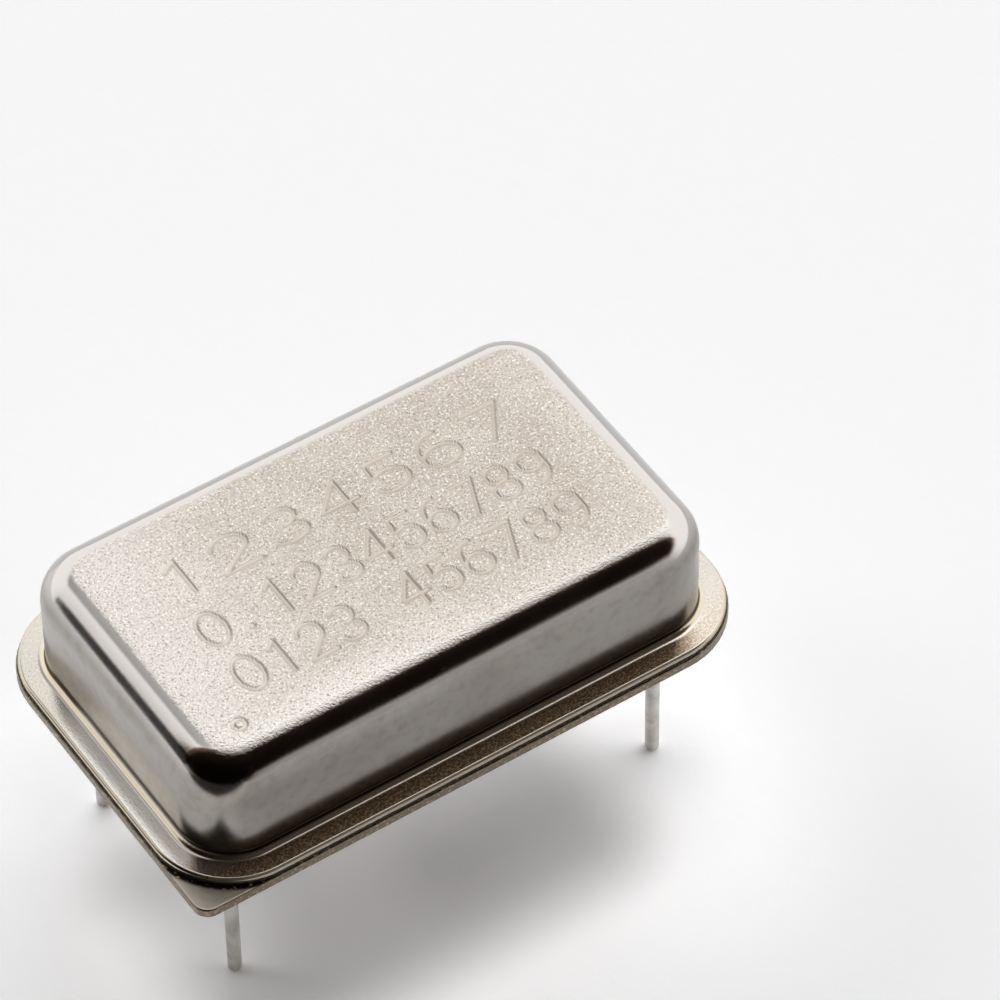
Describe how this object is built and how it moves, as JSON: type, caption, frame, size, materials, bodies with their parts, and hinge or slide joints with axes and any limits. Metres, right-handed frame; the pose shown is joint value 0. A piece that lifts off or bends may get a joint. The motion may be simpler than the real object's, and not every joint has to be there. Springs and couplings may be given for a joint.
{
  "type": "crystal oscillator",
  "caption": "Metal-can crystal oscillator: a drawn can welded to a glass-sealed header with wire leads, stand-off beads and a square index corner.",
  "frame": {"origin": "centre of the lead pattern in the seating plane, which the feet of the stand-off beads touch", "axes": "+X along the body, away from the square corner; +Z out of the board, from the leads to the top of the can; the square corner and lead 1 are at -X -Y"},
  "size_m": [0.0198, 0.0126, 0.0109],
  "materials": {
    "can_metal": "matte",
    "plate_metal": "matte",
    "lead_metal": "satin",
    "seal_glass": "gloss",
    "braze": "satin",
    "bead_glass": "gloss",
    "alumina": "matte",
    "conductor": "satin",
    "resistor": "matte",
    "glaze": "gloss",
    "solder": "satin",
    "silicon": "polished",
    "silver_epoxy": "satin",
    "bond_gold": "polished",
    "capacitor_ceramic": "matte",
    "capacitor_end": "satin",
    "quartz": "gloss",
    "electrode": "polished",
    "clip_metal": "satin"
  },
  "bodies": {
    "root": {"can": "can_metal", "base_plate": "plate_metal", "lead_index": "lead_metal", "lead_ground": "lead_metal", "lead_output": "lead_metal", "lead_supply": "lead_metal", "glass_seal_index": "seal_glass", "glass_seal_output": "seal_glass", "glass_seal_supply": "seal_glass", "ground_braze": "braze", "standoff_bead_index": "bead_glass", "standoff_bead_ground": "bead_glass", "standoff_bead_output": "bead_glass", "standoff_bead_supply": "bead_glass", "substrate": "alumina", "conductor_print": "conductor", "resistor_print": "resistor", "resistor_glaze": "glaze", "solder_index": "solder", "solder_ground": "solder", "solder_output": "solder", "solder_supply": "solder", "capacitor_solder": "solder", "clip_solder": "solder", "oscillator_chip": "silicon", "die_attach": "silver_epoxy", "adhesive_left": "silver_epoxy", "adhesive_right": "silver_epoxy", "bond_wires": "bond_gold", "capacitor_body": "capacitor_ceramic", "capacitor_cap_left": "capacitor_end", "capacitor_cap_right": "capacitor_end", "crystal_blank": "quartz", "electrode_upper": "electrode", "electrode_lower": "electrode", "crystal_clip_left": "clip_metal", "crystal_clip_right": "clip_metal"}
  },
  "joints": []
}
